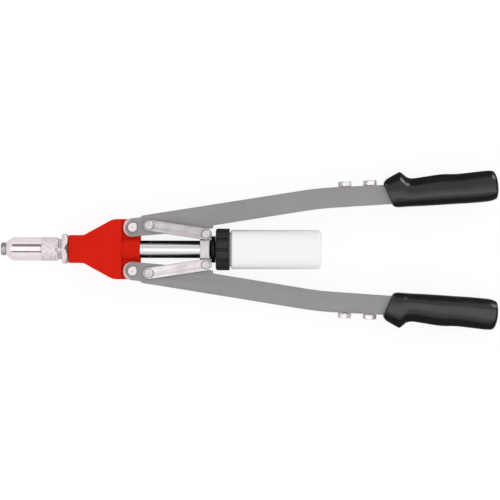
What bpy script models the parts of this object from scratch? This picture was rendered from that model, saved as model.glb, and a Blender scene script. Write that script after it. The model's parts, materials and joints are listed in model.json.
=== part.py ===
"""Two-hand long-arm blind riveter, modelled as an assembly that works.

Opening the two handles swings the arms about pins in the casting.  Links on the arms push the
crosshead, the pull tube and the jaw case forward.  Closing the handles draws the jaws back and
sets the rivet.  Spent mandrels fall through the pull tube into the bottle.

Sizes are in millimetres and are turned into metres where a mesh or an empty is made.
The tool axis is X, from nose to grips.  x is measured from the plane of the arm pivots,
y from the tool axis, and z from the plane in which the arms swing.
"""
import math

import bmesh
import bpy
from mathutils import Matrix, Vector

MM = 0.001
GAP = 0.3                       # clearance between neighbouring pieces
TURN_STEPS = 36                 # facets round a large turned piece
SMALL_STEPS = 16                # facets round a pin

# Overall placement
LENGTH_CENTRE_X = 125.15        # middle of the length, measured from the pivot plane
AXIS_HEIGHT = 22.4              # the cap is the lowest piece, so this is its radius

# Linkage: arm pivot A, link pivot B on the arm, link pivot C on the crosshead
PIVOT_A = (0.0, 23.4)
PIVOT_B = (17.65, 25.7)
PIVOT_C = (78.4, 16.4)

# Layers of the linkage, as heights above and below the middle plane
LUG_HALF = 7.2
FLANGE_INNER = 7.5
FLANGE_OUTER = 10.0
LINK_THICKNESS = 2.5

# Casting
BODY_FRONT = -68.5
BODY_HALF = 15.0
BODY_STEP = -11.6               # where the thick part ends and the lugs begin
BODY_HALF_WIDTH = 32.2
BODY_EDGE_RADIUS = 2.2          # along the edges of the thick plate
SHOULDER_FRONT = -51.9          # where the sides start to spread from the neck's width
SHOULDER_REAR = -20.6           # where they have reached the full width
SHOULDER_RADIUS = 15.0
NECK_RADIUS = 15.1
NECK_EDGE = 0.8                 # chamfer at the neck's front and the boss's rear
NECK_ROUND_END = -62.5          # from here the round neck thins out inside the plate
NECK_CORE_END = -48.5
NECK_CORE_RADIUS = 13.5
PLATE_FRONT = -56.5             # where the round neck has become as square as the plate
BLEND_FRONT = -66.0             # ends of the skin between the round neck and the plate
BLEND_REAR = -53.0
LUG_FRONT = -14.0               # inside the thick plate
LUG_REAR = 9.0
LUG_CORNER_RADIUS = 8.5
BOSS_RADIUS = 13.7
BOSS_FRONT = -16.0              # inside the thick plate
BOSS_REAR = 8.1
BODY_BORE = 11.7
BUSH_FRONT = -22.0

# Nose end
NOSE_FRONT = -140.8
NOSE_SHOULDER = -135.1
NOSE_BOSS_END = -126.0
NOSE_HEX_RADIUS = 7.04
NOSE_HEX_TURN = 14.0            # degrees that the nosepiece happens to be turned
NOSE_THREAD_RADIUS = 4.5
MANDREL_BORE = 2.0
SLEEVE_CONE_END = -128.4
SLEEVE_FLAT_END = -97.4
SLEEVE_KNURL_FRONT = -96.8
SLEEVE_KNURL_REAR = -79.7
SLEEVE_REAR = -54.0
SLEEVE_TIP_RADIUS = 7.0
SLEEVE_RADIUS = 12.55
SLEEVE_KNURL_RADIUS = 12.8
SLEEVE_BORE = 9.6
SLEEVE_THREAD_RADIUS = 11.4
SLEEVE_THREAD_PITCH = 1.5
SLEEVE_THREAD_DEPTH = 0.7
SLEEVE_FLAT_DISTANCE = 11.66    # from the axis to each wrench flat
KEYWAY_FRONT = -81.9
KEYWAY_TURN = 4.3               # degrees that the keyway lies off the top
NUT_FRONT = -75.6
NUT_HEX_RADIUS = 18.3
NUT_HEX_TURN = 26.0             # degrees that the lock nut happens to be turned
NUT_FACE_RADIUS = 14.9          # of the round faces that its chamfers leave at both ends
NUT_SEAT_RADIUS = 14.85
NUT_FRONT_CHAMFER = 2.0         # length of each chamfer along the axis
NUT_REAR_CHAMFER = 4.1

# Pulling parts
CONE_ANGLE = math.radians(10.0)
JAW_FRONT = -110.9
JAW_LENGTH = 12.0
JAW_TIP_RADIUS = 4.9
JAW_BORE = 1.4
JAW_SLIT = 0.5
CASE_FRONT = -112.0
CASE_REAR = -66.0
CASE_RADIUS = 9.3
CASE_CHAMBER = 7.92
PUSHER_HEAD_RADIUS = 6.6
PUSHER_HEAD_LENGTH = 4.0
PUSHER_STEM_RADIUS = 4.1
PUSHER_BORE = 2.4
PUSHER_REAR = -70.0
SPRING_RADIUS = 6.0
SPRING_WIRE_RADIUS = 0.6
SPRING_TURNS = 5
TUBE_FRONT = -78.7
TUBE_RADIUS = 9.35
TUBE_SPIGOT_RADIUS = 7.6
TUBE_BORE = 4.6
TUBE_REAR = 82.0
TUBE_SOCKET_FRONT = 69.7        # the collar's spigot is held in this wider bore
TUBE_SOCKET_RADIUS = 7.0

# Crosshead
CROSS_FRONT = 72.2
CROSS_REAR = 82.3
CROSS_END_REAR = 84.7
CROSS_HALF_WIDTH = 9.7          # of the thick middle block
CROSS_HALF_LENGTH = 21.2
CROSS_MIDDLE_HALF = 13.0

# Collar, cap and bottle
COLLAR_FRONT = 82.6
COLLAR_STEP = 84.2
COLLAR_REAR = 88.6
COLLAR_SMALL_RADIUS = 10.35
COLLAR_RADIUS = 14.25
CAP_FRONT = 88.9
CAP_REAR = 103.9
CAP_RADIUS = 22.4
CAP_WALL = 2.5
CAP_HOLE = 9.3
CAP_BORE = 18.6
CAP_GROOVES = 12
BOTTLE_SHOULDER = 105.2
BOTTLE_REAR = 202.0
BOTTLE_RADIUS = 21.05
BOTTLE_NECK_RADIUS = 18.2
BOTTLE_MOUTH = 95.5
BOTTLE_WALL = 1.5

# Arms
SHEET = 2.5                     # thickness of the pressed channel
ARM_BEND = 4.5                  # outside radius along the web
ARM_WEB_START = 10.2
ARM_REAR = 292.0
KINK = (199.2, 66.1)            # where the outer edge's two straight lines meet
FRONT_SLOPE = 0.159
REAR_SLOPE = 0.0488
BOLT_X = (226.9, 253.8)
BOLT_RADIUS = 4.0
BOLT_HEAD_RADIUS = 7.33
BOLT_HEAD_HEIGHT = 5.3
BAR_FRONT = 216.0
BAR_REAR = 377.0
BAR_DEPTH = 14.0

# Pins and rivets
PIN_A_RADIUS = 4.0
PIN_A_HEAD = 5.2
RIVET_RADIUS = 2.75
RIVET_B_HEAD = 4.7
RIVET_C_HEAD = 4.5
LINK_END_RADIUS = 6.3

# Grip stations: outer point, inner point, half height and squareness of the section between them
GRIP_STATIONS = (
    ((268.3, 71.7), (278.4, 47.2), 14.0, 3.6),
    ((271.6, 75.9), (281.0, 45.7), 14.6, 3.2),
    ((283.2, 82.6), (284.4, 45.4), 16.0, 2.8),
    ((286.2, 83.2), (286.4, 45.5), 16.0, 2.7),
    ((290.6, 80.0), (290.6, 45.8), 15.6, 2.7),
    ((294.2, 77.5), (294.2, 46.1), 15.0, 2.7),
    ((300.0, 76.8), (300.0, 46.4), 14.7, 2.7),
    ((312.4, 78.6), (312.4, 47.0), 14.7, 2.7),
    ((330.0, 81.2), (330.0, 48.1), 15.0, 2.7),
    ((346.0, 81.6), (346.0, 49.2), 15.0, 2.7),
    ((361.1, 83.2), (361.1, 50.1), 15.0, 2.7),
    ((379.6, 85.3), (380.0, 51.9), 15.0, 2.7),
    ((386.2, 84.0), (386.6, 53.6), 14.2, 2.7),
    ((389.8, 77.5), (389.8, 55.6), 12.2, 2.5),
    ((391.1, 70.0), (391.1, 60.0), 7.5, 2.2),
)

# Colours as the viewport shows them: base colour, roughness, metallic
FINISHES = {
    "red_paint": ((0.62, 0.02, 0.01), 0.45, 0.0),
    "grey_paint": ((0.30, 0.29, 0.30), 0.5, 0.2),
    "machined_steel": ((0.70, 0.68, 0.69), 0.3, 1.0),
    "chrome": ((0.85, 0.85, 0.86), 0.08, 1.0),
    "zinc_plate": ((0.75, 0.73, 0.74), 0.35, 1.0),
    "bronze": ((0.55, 0.40, 0.20), 0.4, 1.0),
    "spring_steel": ((0.35, 0.35, 0.36), 0.35, 1.0),
    "black_plastic": ((0.035, 0.035, 0.035), 0.45, 0.0),
    "black_grip": ((0.045, 0.045, 0.047), 0.6, 0.0),
    "white_plastic": ((0.86, 0.86, 0.87), 0.35, 0.0),
}


# --- scene helpers ---------------------------------------------------------------------------

def empty_scene():
    for obj in list(bpy.data.objects):
        bpy.data.objects.remove(obj, do_unlink=True)


def make_collection(name):
    collection = bpy.data.collections.new(name)
    bpy.context.scene.collection.children.link(collection)
    return collection


def finish_material(name):
    material = bpy.data.materials.get(name)
    if material:
        return material
    colour, roughness, metallic = FINISHES[name]
    material = bpy.data.materials.new(name)
    material.use_nodes = True
    shader = material.node_tree.nodes["Principled BSDF"]
    shader.inputs["Base Color"].default_value = (*colour, 1.0)
    shader.inputs["Roughness"].default_value = roughness
    shader.inputs["Metallic"].default_value = metallic
    material.diffuse_color = (*colour, 1.0)
    return material


def link_object(name, data):
    obj = bpy.data.objects.new(name, data)
    WORKBENCH.objects.link(obj)
    return obj


def mesh_object(name, bm):
    mesh = bpy.data.meshes.new(name)
    bm.to_mesh(mesh)
    bm.free()
    return link_object(name, mesh)


def bake(obj):
    """Replace an object's data with its evaluated mesh."""
    bpy.context.view_layer.update()
    depsgraph = bpy.context.evaluated_depsgraph_get()
    mesh = bpy.data.meshes.new_from_object(obj.evaluated_get(depsgraph))
    obj.modifiers.clear()
    obj.data = mesh
    return obj


def move_mesh(obj, matrix):
    """Move the mesh itself, so that the object's own place stays at the tool's zero."""
    obj.data.transform(matrix)
    return obj


def boolean(target, other, operation):
    modifier = target.modifiers.new(operation.lower(), "BOOLEAN")
    modifier.operation = operation
    modifier.object = other
    bake(target)
    bpy.data.objects.remove(other, do_unlink=True)
    return target


def join(target, *others):
    for other in others:
        boolean(target, other, "UNION")
    return target


def cut(target, *others):
    for other in others:
        boolean(target, other, "DIFFERENCE")
    return target


def bevel(obj, width, segments=3, angle=40.0, weighted=False):
    modifier = obj.modifiers.new("bevel", "BEVEL")
    modifier.width = width * MM
    modifier.segments = segments
    modifier.limit_method = "WEIGHT" if weighted else "ANGLE"
    modifier.angle_limit = math.radians(angle)
    modifier.use_clamp_overlap = True
    return bake(obj)


# --- shape helpers ---------------------------------------------------------------------------

def rounded_outline(corners, max_turn=15.0, max_chord=9.0):
    """Closed outline through (x, y, radius) corners, each rounded by an arc of that radius."""
    points = []
    count = len(corners)
    for index, (x, y, radius) in enumerate(corners):
        here = Vector((x, y))
        to_last = (Vector(corners[index - 1][:2]) - here).normalized()
        to_next = (Vector(corners[(index + 1) % count][:2]) - here).normalized()
        turn = math.pi - to_last.angle(to_next)
        if radius <= 0.0 or turn < 1e-4:
            points.append(here)
            continue
        reach = radius * math.tan(turn / 2.0)
        centre = here + (to_last + to_next).normalized() * (radius / math.cos(turn / 2.0))
        start = here + to_last * reach - centre
        sign = 1.0 if to_last.x * to_next.y - to_last.y * to_next.x < 0.0 else -1.0
        steps = max(math.ceil(math.degrees(turn) / max_turn), math.ceil(radius * turn / max_chord))
        for step in range(steps + 1):
            points.append(centre + Matrix.Rotation(sign * turn * step / steps, 2) @ start)
    return points


def plate(name, points, low, high):
    """Flat piece with the outline given in x and y, between two heights."""
    curve = bpy.data.curves.new(name, "CURVE")
    curve.dimensions = "2D"
    curve.fill_mode = "BOTH"
    curve.extrude = (high - low) / 2.0 * MM
    spline = curve.splines.new("POLY")
    spline.points.add(len(points) - 1)
    for spot, point in zip(spline.points, points):
        spot.co = (point[0] * MM, point[1] * MM, 0.0, 1.0)
    spline.use_cyclic_u = True
    source = link_object(name + "_outline", curve)
    bpy.context.view_layer.update()
    mesh = bpy.data.meshes.new_from_object(
        source.evaluated_get(bpy.context.evaluated_depsgraph_get()))
    bpy.data.objects.remove(source, do_unlink=True)
    bm = bmesh.new()
    bm.from_mesh(mesh)
    bmesh.ops.remove_doubles(bm, verts=bm.verts, dist=1e-6)
    bmesh.ops.dissolve_limit(bm, angle_limit=math.radians(0.05), verts=bm.verts, edges=bm.edges)
    bmesh.ops.recalc_face_normals(bm, faces=bm.faces)
    bmesh.ops.translate(bm, verts=bm.verts, vec=(0.0, 0.0, (high + low) / 2.0 * MM))
    return mesh_object(name, bm)


def turned(name, profile, steps=TURN_STEPS, along="X", closed=True, at=(0.0, 0.0, 0.0)):
    """Turn (position, radius) points about an axis.

    The points run along the outer side from the high end to the low end, and back inside.
    """
    bm = bmesh.new()
    verts = [bm.verts.new((radius * MM, 0.0, place * MM)) for place, radius in profile]
    for first, second in zip(verts, verts[1:]):
        bm.edges.new((first, second))
    if closed:
        bm.edges.new((verts[-1], verts[0]))
    obj = mesh_object(name, bm)
    screw = obj.modifiers.new("turn", "SCREW")
    screw.axis = "Z"
    screw.angle = 2.0 * math.pi
    screw.steps = steps
    screw.render_steps = steps
    screw.use_merge_vertices = True
    screw.merge_threshold = 1e-6
    bake(obj)
    turn = Matrix.Rotation(math.pi / 2.0, 4, "Y") if along == "X" else Matrix.Identity(4)
    return move_mesh(obj, Matrix.Translation(Vector(at) * MM) @ turn)


def rod(name, radius, low, high, steps=SMALL_STEPS, along="X", at=(0.0, 0.0, 0.0), spin=0.0):
    """Solid prism or cylinder between two places on an axis."""
    bm = bmesh.new()
    bmesh.ops.create_cone(bm, cap_ends=True, segments=steps, radius1=radius * MM,
                          radius2=radius * MM, depth=(high - low) * MM)
    obj = mesh_object(name, bm)
    turn = Matrix.Rotation(math.pi / 2.0, 4, "Y") if along == "X" else Matrix.Identity(4)
    lift = Matrix.Translation((0.0, 0.0, (high + low) / 2.0 * MM))
    place = Matrix.Translation(Vector(at) * MM)
    return move_mesh(obj, place @ turn @ Matrix.Rotation(math.radians(spin), 4, "Z") @ lift)


def box(name, low, high):
    bm = bmesh.new()
    bmesh.ops.create_cube(bm, size=1.0)
    size = [(b - a) * MM for a, b in zip(low, high)]
    middle = [(a + b) / 2.0 * MM for a, b in zip(low, high)]
    bmesh.ops.scale(bm, verts=bm.verts, vec=size)
    bmesh.ops.translate(bm, verts=bm.verts, vec=middle)
    return mesh_object(name, bm)


# --- placing ---------------------------------------------------------------------------------

def joint_empty(name, point=(0.0, 0.0), parent=None, lower=False):
    """Empty on a joint's axis.  The lower side is the upper one turned over about the X axis."""
    empty = bpy.data.objects.new(name, None)
    empty.empty_display_size = 0.01
    empty.parent = parent
    x, y = point
    empty.location = (x * MM, (-y if lower else y) * MM, 0.0)
    empty.rotation_euler = (math.pi if lower else 0.0, 0.0, 0.0)
    empty["point"] = point
    PARTS.objects.link(empty)
    return empty


def place(obj, name, finish, parent):
    """Name a finished piece, give it its material and hang it on its joint's empty."""
    obj.name = name
    obj.data.name = name
    obj.data.materials.clear()
    obj.data.materials.append(finish_material(finish))
    obj.data.shade_smooth()
    obj.data.set_sharp_from_angle(angle=math.radians(30.0))
    for collection in list(obj.users_collection):
        collection.objects.unlink(obj)
    PARTS.objects.link(obj)
    x, y = parent["point"]
    obj.parent = parent
    obj.location = (-x * MM, -y * MM, 0.0)
    return obj


def copy_of(obj, name, finish, parent):
    twin = bpy.data.objects.new(name, obj.data)
    WORKBENCH.objects.link(twin)
    return place(twin, name, finish, parent)


# --- the casting and what is fixed to it -----------------------------------------------------

def neck_blend():
    """Skin between the round neck and the front of the thick plate."""
    side = NECK_RADIUS - 0.1
    bm = bmesh.new()
    for step in range(TURN_STEPS):
        angle = 2.0 * math.pi * step / TURN_STEPS
        spot = Vector((BLEND_FRONT, side * math.cos(angle), side * math.sin(angle)))
        bm.verts.new(spot * MM)
    square = rounded_outline([(across * side, height * (BODY_HALF - 0.05), BODY_EDGE_RADIUS)
                              for across, height in ((-1, -1), (1, -1), (1, 1), (-1, 1))])
    for across, height in square:
        bm.verts.new(Vector((BLEND_REAR, across, height)) * MM)
    hull = bmesh.ops.convex_hull(bm, input=bm.verts)
    bmesh.ops.delete(bm, geom=hull["geom_interior"], context="VERTS")
    bmesh.ops.recalc_face_normals(bm, faces=bm.faces)
    return mesh_object("blend", bm)


def body_casting():
    neck_side = NECK_RADIUS - 0.05
    thick = rounded_outline((
        (PLATE_FRONT, -neck_side, 0.0), (SHOULDER_FRONT, -neck_side, 2.0),
        (SHOULDER_REAR, -BODY_HALF_WIDTH, SHOULDER_RADIUS),
        (BODY_STEP, -BODY_HALF_WIDTH, 1.0), (BODY_STEP, BODY_HALF_WIDTH, 1.0),
        (SHOULDER_REAR, BODY_HALF_WIDTH, SHOULDER_RADIUS),
        (SHOULDER_FRONT, neck_side, 2.0), (PLATE_FRONT, neck_side, 0.0)))
    body = bevel(plate("casting", thick, -BODY_HALF, BODY_HALF), BODY_EDGE_RADIUS, segments=3)
    lug_outline = rounded_outline((
        (LUG_FRONT, -BODY_HALF_WIDTH, 0.0), (LUG_REAR, -BODY_HALF_WIDTH, LUG_CORNER_RADIUS),
        (LUG_REAR, BODY_HALF_WIDTH, LUG_CORNER_RADIUS), (LUG_FRONT, BODY_HALF_WIDTH, 0.0)))
    lugs = plate("lugs", lug_outline, -LUG_HALF, LUG_HALF)
    neck = turned("neck", (
        (NECK_CORE_END, 0.0), (NECK_CORE_END, NECK_CORE_RADIUS), (NECK_ROUND_END, NECK_RADIUS),
        (BODY_FRONT + NECK_EDGE, NECK_RADIUS),
        (BODY_FRONT, NECK_RADIUS - NECK_EDGE), (BODY_FRONT, 0.0)), closed=False)
    boss = turned("boss", (
        (BOSS_REAR, 0.0), (BOSS_REAR, BOSS_RADIUS - NECK_EDGE),
        (BOSS_REAR - NECK_EDGE, BOSS_RADIUS), (BOSS_FRONT, BOSS_RADIUS), (BOSS_FRONT, 0.0)),
        closed=False)
    join(body, lugs, neck_blend(), neck, boss)
    cut(body, rod("bore", BODY_BORE, BODY_FRONT - 2.0, LUG_REAR + 2.0, TURN_STEPS))
    for side in (1.0, -1.0):
        spot = (PIVOT_A[0], side * PIVOT_A[1], 0.0)
        cut(body, rod("pin_hole", PIN_A_RADIUS + GAP, -20.0, 20.0, along="Z", at=spot))
    return body


def guide_bush():
    outer, inner = BODY_BORE - GAP, TUBE_RADIUS + GAP
    rear = BOSS_REAR - 0.3
    return turned("bush", ((rear, outer), (BUSH_FRONT, outer), (BUSH_FRONT, inner), (rear, inner)))


def sleeve_thread():
    """Outer side of the thread stretch between the knurl and the nut, as rounded ridges."""
    points = []
    place_x = SLEEVE_KNURL_REAR + 5.0
    while place_x > SLEEVE_KNURL_REAR + 0.8:
        points.append((place_x, SLEEVE_THREAD_RADIUS))
        points.append((place_x - 0.5 * SLEEVE_THREAD_PITCH,
                       SLEEVE_THREAD_RADIUS - SLEEVE_THREAD_DEPTH))
        place_x -= SLEEVE_THREAD_PITCH
    return points


def jaw_housing():
    front_wall = -129.5
    profile = [(SLEEVE_REAR, SLEEVE_THREAD_RADIUS - 0.5),
               (SLEEVE_REAR - 0.6, SLEEVE_THREAD_RADIUS)]
    profile += sleeve_thread()
    profile += [(SLEEVE_KNURL_REAR, SLEEVE_THREAD_RADIUS - 0.7),
                (SLEEVE_KNURL_REAR, SLEEVE_KNURL_RADIUS - 0.4),
                (SLEEVE_KNURL_REAR - 0.5, SLEEVE_KNURL_RADIUS),
                (SLEEVE_KNURL_FRONT, SLEEVE_KNURL_RADIUS),
                (SLEEVE_KNURL_FRONT - 0.3, SLEEVE_RADIUS),
                (SLEEVE_CONE_END + 0.8, SLEEVE_RADIUS),
                (SLEEVE_CONE_END - 0.4, SLEEVE_RADIUS - 0.45),
                (NOSE_SHOULDER, SLEEVE_TIP_RADIUS),
                (NOSE_SHOULDER, NOSE_THREAD_RADIUS + GAP), (front_wall, NOSE_THREAD_RADIUS + GAP),
                (front_wall, SLEEVE_BORE - 1.0), (front_wall + 1.0, SLEEVE_BORE),
                (SLEEVE_REAR, SLEEVE_BORE)]
    sleeve = turned("sleeve", profile, steps=TURN_STEPS)
    keyway = box("keyway", (KEYWAY_FRONT, -2.0, SLEEVE_THREAD_RADIUS - 1.2),
                 (SLEEVE_REAR + 1.0, 2.0, 14.0))
    move_mesh(keyway, Matrix.Rotation(math.radians(KEYWAY_TURN), 4, "X"))
    cut(sleeve, keyway)
    for side in (1.0, -1.0):
        low, high = sorted((side * SLEEVE_FLAT_DISTANCE, side * 20.0))
        cut(sleeve, box("flat", (NOSE_SHOULDER - 2.0, -12.0, low), (SLEEVE_FLAT_END, 12.0, high)))
    return sleeve


def nosepiece():
    hexagon = rod("hex", NOSE_HEX_RADIUS, NOSE_FRONT, NOSE_SHOULDER - GAP, 6,
                  spin=NOSE_HEX_TURN + 180.0)
    trim = turned("trim", (
        (NOSE_SHOULDER, 0.0), (NOSE_SHOULDER, NOSE_HEX_RADIUS - 0.5),
        (NOSE_SHOULDER - 0.8, NOSE_HEX_RADIUS + 0.1),
        (NOSE_FRONT + 1.6, NOSE_HEX_RADIUS + 0.1), (NOSE_FRONT, NOSE_HEX_RADIUS - 1.5),
        (NOSE_FRONT, 0.0)), closed=False)
    boolean(hexagon, trim, "INTERSECT")
    join(hexagon, rod("spigot", NOSE_THREAD_RADIUS, NOSE_SHOULDER - 1.0, NOSE_BOSS_END, 24))
    return cut(hexagon, rod("bore", MANDREL_BORE, NOSE_FRONT - 1.0, NOSE_BOSS_END + 1.0, 20))


def lock_nut():
    rear = BODY_FRONT - GAP
    corner = NUT_HEX_RADIUS + 0.1
    nut = rod("hex", NUT_HEX_RADIUS, NUT_FRONT, rear, 6, spin=NUT_HEX_TURN)
    trim = turned("trim", (
        (rear, 0.0), (rear, NUT_SEAT_RADIUS), (rear - NUT_REAR_CHAMFER, corner),
        (NUT_FRONT + NUT_FRONT_CHAMFER, corner), (NUT_FRONT, NUT_FACE_RADIUS),
        (NUT_FRONT, 0.0)), closed=False)
    boolean(nut, trim, "INTERSECT")
    return cut(nut, rod("bore", SLEEVE_THREAD_RADIUS + GAP, NUT_FRONT - 1.0, rear + 1.0,
                        TURN_STEPS))


def headed_pin(name, point, shank, head, head_start, head_height, dimple=0.0):
    """Rivet along Z with the same head at both ends, and a peened dimple if one is asked for."""
    top = head_start + head_height
    side = [(top, 0.0)]
    if dimple:
        side = [(top - 0.5, 0.0), (top, dimple)]
    side += [(top, head - 0.9), (top - 0.8, head), (head_start, head), (head_start, shank)]
    mirrored = [(-height, radius) for height, radius in reversed(side)]
    return turned(name, side + mirrored, steps=SMALL_STEPS + 2, along="Z", closed=False,
                  at=(*point, 0.0))


# --- the arms --------------------------------------------------------------------------------

def outer_edge(x):
    """Height of the arm's outer edge behind the bend, from the tool axis."""
    return KINK[1] + REAR_SLOPE * (x - KINK[0])


def arm_outline():
    return rounded_outline((
        (-9.8, 31.9, 9.0), (8.3, 34.2, 0.0), (ARM_WEB_START, front_edge(ARM_WEB_START), 1.0),
        (*KINK, 350.0), (ARM_REAR, outer_edge(ARM_REAR), 0.0), (ARM_REAR, 50.1, 0.0),
        (200.5, 44.0, 320.0), (86.1, 25.7, 1.0), (86.1, 22.6, 1.5), (38.0, 16.9, 60.0),
        (9.0, 14.3, 30.0), (-9.8, 12.4, 9.5)))


def channel_cutter():
    """Space inside the channel.  It leaves the web only from its start to the arm's rear end."""
    start = ARM_WEB_START - 0.6
    outline = rounded_outline((
        (-30.0, 60.0, 0.0), (start, 60.0, 0.0), (start, front_edge(start) - SHEET, 0.0),
        (KINK[0], KINK[1] - SHEET, 350.0), (ARM_REAR + 10.0, outer_edge(ARM_REAR + 10.0) - SHEET,
                                            0.0),
        (ARM_REAR + 10.0, 0.0, 0.0), (-30.0, 0.0, 0.0)))
    return plate("channel", outline, -FLANGE_INNER, FLANGE_INNER)


def front_edge(x):
    """Height of the arm's outer edge in front of the bend."""
    return KINK[1] - FRONT_SLOPE * (KINK[0] - x)


def round_outer_edges(obj, radius, depth):
    """Round the two long edges where a web meets the flanges."""
    weights = obj.data.attributes.new("bevel_weight_edge", "FLOAT", "EDGE")
    for edge in obj.data.edges:
        ends = [obj.data.vertices[index].co / MM for index in edge.vertices]
        flat = abs(ends[0].z - ends[1].z) < 1e-3
        outside = all(end.y > min(front_edge(end.x), outer_edge(end.x)) - depth for end in ends)
        weights.data[edge.index].value = 1.0 if flat and outside else 0.0
    return bevel(obj, radius, segments=4, weighted=True)


def web_rounding():
    """What the press leaves off: the square corners outside the channel's two bends."""
    front, rear = ARM_WEB_START - 2.0, ARM_REAR + 30.0
    far = -60.0
    rounded = plate("rounded", rounded_outline((
        (far, front_edge(far), 0.0), (*KINK, 350.0), (rear, outer_edge(rear), 0.0),
        (rear, far, 0.0), (far, far, 0.0))), -FLANGE_OUTER, FLANGE_OUTER)
    round_outer_edges(rounded, ARM_BEND, 3.0)
    strip = plate("strip", rounded_outline((
        (front, front_edge(front) + 4.0, 0.0), (KINK[0], KINK[1] + 4.0, 350.0),
        (rear - 5.0, outer_edge(rear - 5.0) + 4.0, 0.0),
        (rear - 5.0, outer_edge(rear - 5.0) - 6.0, 0.0), (KINK[0], KINK[1] - 6.0, 350.0),
        (front, front_edge(front) - 6.0, 0.0))), -FLANGE_OUTER - 2.0, FLANGE_OUTER + 2.0)
    return cut(strip, rounded)


def arm_slot():
    """Slot at pivot B.  The rivet works along it as the handles open, hidden by the link."""
    reach_front, half = 2.75, RIVET_RADIUS + 0.75
    x, y = PIVOT_B
    outline = rounded_outline((
        (x - reach_front - half, y + half, half), (x + half, y + half, half),
        (x + half, y - half, half), (x - reach_front - half, y - half, half)), max_turn=30.0)
    return plate("slot", outline, -20.0, 20.0)


def across_arm(x, depth):
    """Matrix that puts local Z along the outward normal of the arm's rear stretch."""
    slope = math.atan(REAR_SLOPE)
    spot = Vector((x, outer_edge(x), 0.0)) - Vector((-math.sin(slope), math.cos(slope), 0)) * depth
    return (Matrix.Translation(spot * MM) @ Matrix.Rotation(slope, 4, "Z")
            @ Matrix.Rotation(-math.pi / 2.0, 4, "X"))


def bolt_hole(x, low, high):
    hole = rod("bolt_hole", BOLT_RADIUS + GAP, low, high, along="Z")
    return move_mesh(hole, across_arm(x, 0.0))


def arm_channel():
    arm = plate("arm", arm_outline(), -FLANGE_OUTER, FLANGE_OUTER)
    cut(arm, web_rounding(), channel_cutter())
    cut(arm, rod("pin_hole", PIN_A_RADIUS + GAP, -20.0, 20.0, along="Z", at=(*PIVOT_A, 0.0)))
    cut(arm, arm_slot())
    for x in BOLT_X:
        cut(arm, bolt_hole(x, -SHEET - 2.0, 2.0))
    return arm


def grip_bar():
    """Steel bar that is bolted into the channel and carries the grip."""
    top = SHEET + GAP
    outline = rounded_outline((
        (BAR_FRONT, outer_edge(BAR_FRONT) - top, 2.0), (BAR_REAR, outer_edge(BAR_REAR) - top, 2.0),
        (BAR_REAR, outer_edge(BAR_REAR) - top - BAR_DEPTH, 2.0),
        (BAR_FRONT, outer_edge(BAR_FRONT) - top - BAR_DEPTH, 2.0)))
    bar = plate("bar", outline, -LUG_HALF, LUG_HALF)
    for x in BOLT_X:
        cut(bar, bolt_hole(x, -BAR_DEPTH - 8.0, 0.0))
    return bar


def hex_bolt(x, spin):
    head_low, head_high = GAP, GAP + BOLT_HEAD_HEIGHT
    bolt = rod("head", BOLT_HEAD_RADIUS, head_low, head_high, 6, along="Z", spin=spin)
    trim = turned("trim", (
        (head_high, 0.0), (head_high, BOLT_HEAD_RADIUS - 1.3),
        (head_high - 0.9, BOLT_HEAD_RADIUS + 0.05), (head_low, BOLT_HEAD_RADIUS + 0.05),
        (head_low, 0.0)), steps=32, along="Z", closed=False)
    boolean(bolt, trim, "INTERSECT")
    join(bolt, rod("shank", BOLT_RADIUS, -SHEET - 12.0, head_low + 1.0, along="Z"))
    return move_mesh(bolt, across_arm(x, 0.0))


def smooth_between(before, start, end, after, t):
    """Catmull-Rom value between start and end."""
    return 0.5 * (2.0 * start + (end - before) * t
                  + (2.0 * before - 5.0 * start + 4.0 * end - after) * t * t
                  + (3.0 * start - before - 3.0 * end + after) * t ** 3)


def grip_sections(substeps=2):
    rows = [(*outer, *inner, half, power) for outer, inner, half, power in GRIP_STATIONS]
    sections = []
    for index in range(len(rows) - 1):
        before = rows[max(index - 1, 0)]
        after = rows[min(index + 2, len(rows) - 1)]
        for step in range(substeps):
            sections.append([smooth_between(*values, step / substeps)
                             for values in zip(before, rows[index], rows[index + 1], after)])
    return sections + [list(rows[-1])]


def signed_power(value, power):
    return math.copysign(abs(value) ** power, value)


def grip_solid(around=20):
    """Loft between rounded sections, one for each place along the grip."""
    bm = bmesh.new()
    rings = []
    for outer_x, outer_y, inner_x, inner_y, half, power in grip_sections():
        outer, inner = Vector((outer_x, outer_y, 0.0)), Vector((inner_x, inner_y, 0.0))
        middle, reach = (outer + inner) / 2.0, (outer - inner) / 2.0
        ring = []
        for step in range(around):
            angle = 2.0 * math.pi * step / around
            across = signed_power(math.cos(angle), 2.0 / power)
            height = signed_power(math.sin(angle), 2.0 / power) * half
            ring.append(bm.verts.new((middle + reach * across + Vector((0, 0, height))) * MM))
        rings.append(ring)
    for first, second in zip(rings, rings[1:]):
        for step in range(around):
            after = (step + 1) % around
            bm.faces.new((first[step], first[after], second[after], second[step]))
    bm.faces.new(rings[0])
    bm.faces.new(rings[-1])
    bmesh.ops.recalc_face_normals(bm, faces=bm.faces)
    return mesh_object("grip", bm)


def grip():
    solid = grip_solid()
    front = 250.0
    end = ARM_REAR + GAP
    pocket = plate("pocket", [
        (front, outer_edge(front) + GAP), (end, outer_edge(end) + GAP), (end, 49.8),
        (front, 46.9)], -FLANGE_OUTER - GAP, FLANGE_OUTER + GAP)
    round_outer_edges(pocket, ARM_BEND - GAP, 1.0)
    top = SHEET
    bore = plate("bore", [
        (end - 20.0, outer_edge(end - 20.0) - top),
        (BAR_REAR + GAP, outer_edge(BAR_REAR) - top),
        (BAR_REAR + GAP, outer_edge(BAR_REAR) - top - BAR_DEPTH - 2.0 * GAP),
        (end - 20.0, outer_edge(end - 20.0) - top - BAR_DEPTH - 2.0 * GAP)],
        -LUG_HALF - GAP, LUG_HALF + GAP)
    return cut(solid, pocket, bore)


# --- the pulling parts -----------------------------------------------------------------------

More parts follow.
